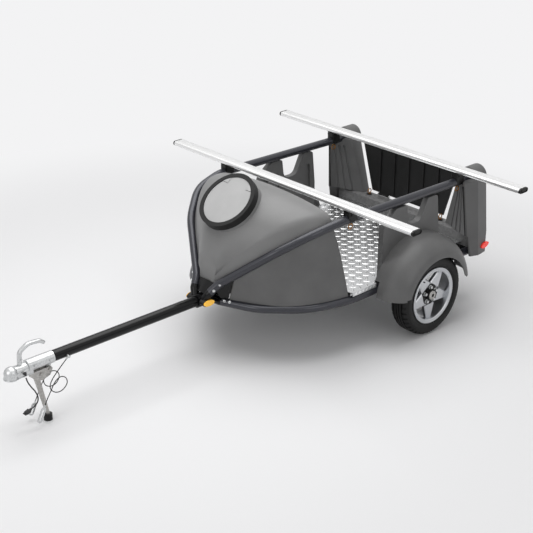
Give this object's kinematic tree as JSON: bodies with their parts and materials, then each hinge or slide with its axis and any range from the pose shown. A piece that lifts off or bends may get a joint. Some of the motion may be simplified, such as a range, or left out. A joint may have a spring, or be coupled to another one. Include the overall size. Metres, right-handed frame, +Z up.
{
  "type": "kayak trailer",
  "caption": "Light road trailer for kayaks and camping gear: bent tube frame, moulded nose with a round hatch, tread-plate deck, fenders, load bars, tailgate and a folding parking stand.",
  "frame": {"origin": "on the ground under the middle of the overall length, on the centre line", "axes": "+X forward to the coupler, +Y to the left, +Z up"},
  "size_m": [3.0317, 1.981, 1.0055],
  "materials": {
    "amber_lens": "clear moulded lens",
    "bar_alloy": "anodised",
    "black_plastic": "moulded",
    "body_plastic": "moulded, fine grain",
    "cable_cover": "plastic cover on wire rope",
    "chassis_paint": "satin powder coat",
    "foot_rubber": "moulded",
    "frame_tube": "satin powder coat",
    "gate_plastic": "moulded, fine grain",
    "hood_plastic": "moulded, fine grain",
    "hub_paint": "black paint",
    "lead_rubber": "extruded sheath",
    "lid_plastic": "moulded, fine grain",
    "red_lens": "clear moulded lens",
    "rim_alloy": "cast, clear coated",
    "ring_brass": "plated wire",
    "seal_rubber": "moulded",
    "stand_paint": "grey paint",
    "tongue_paint": "gloss powder coat",
    "tread_plate": "bright rolled tread plate",
    "tyre_rubber": "moulded rubber",
    "zinc_steel": "bright zinc plate"
  },
  "bodies": {
    "chassis": {"axle_arm_left": "chassis_paint", "axle_arm_right": "chassis_paint", "axle_beam": "chassis_paint", "bar_brackets": "black_plastic", "bar_end_caps": "black_plastic", "cable_eyes": "zinc_steel", "cable_hooks": "zinc_steel", "coupler_body": "zinc_steel", "coupler_handle": "zinc_steel", "cross_members": "chassis_paint", "deck_plate": "tread_plate", "fender_left": "body_plastic", "fender_right": "body_plastic", "gate_hinges": "zinc_steel", "hatch_ring": "seal_rubber", "load_bar_front": "bar_alloy", "load_bar_rear": "bar_alloy", "lower_rail_left": "frame_tube", "lower_rail_right": "frame_tube", "nose_bulkhead": "body_plastic", "nose_floor": "body_plastic", "nose_hood": "hood_plastic", "nose_side_left": "body_plastic", "nose_side_right": "body_plastic", "rear_pillar_left": "body_plastic", "rear_pillar_right": "body_plastic", "rear_sill": "body_plastic", "safety_cable_left": "cable_cover", "safety_cable_right": "cable_cover", "side_marker_housings": "black_plastic", "side_marker_lenses": "amber_lens", "side_tower_left": "body_plastic", "side_tower_right": "body_plastic", "stand_lug": "zinc_steel", "tail_lamps": "red_lens", "tie_down_rings": "ring_brass", "tongue_hub": "tongue_paint", "tongue_tube": "tongue_paint", "upper_rail_left": "frame_tube", "upper_rail_right": "frame_tube", "wiring_grommet": "seal_rubber", "wiring_lead": "lead_rubber", "wiring_plug": "lead_rubber"},
    "wheel_left": {"rim_left": "rim_alloy", "tyre_left": "tyre_rubber", "wheel_hub_left": "hub_paint"},
    "wheel_right": {"rim_right": "rim_alloy", "tyre_right": "tyre_rubber", "wheel_hub_right": "hub_paint"},
    "stand": {"stand_foot": "foot_rubber", "stand_leg": "stand_paint"},
    "tailgate": {"tailgate": "gate_plastic"},
    "hatch_lid": {"hatch_lid": "lid_plastic"}
  },
  "joints": [
    {"name": "wheel_left_spin", "type": "hinge", "parent": "chassis", "child": "wheel_left", "pos_m": [-0.907, 0.646, 0.245], "axis": [0, 1, 0], "continuous": true},
    {"name": "wheel_right_spin", "type": "hinge", "parent": "chassis", "child": "wheel_right", "pos_m": [-0.907, -0.646, 0.245], "axis": [0, 1, 0], "continuous": true},
    {"name": "stand_fold", "type": "hinge", "parent": "chassis", "child": "stand", "pos_m": [1.262, 0, 0.294], "axis": [0, 1, 0], "range_deg": [0, 90]},
    {"name": "tailgate_fold", "type": "hinge", "parent": "chassis", "child": "tailgate", "pos_m": [-1.456, 0, 0.466], "axis": [0, -1, 0], "range_deg": [0, 90]},
    {"name": "hatch_lid_open", "type": "hinge", "parent": "chassis", "child": "hatch_lid", "pos_m": [-0.0425, 0, 0.96407], "axis": [0, -1, 0], "range_deg": [0, 105]}
  ]
}
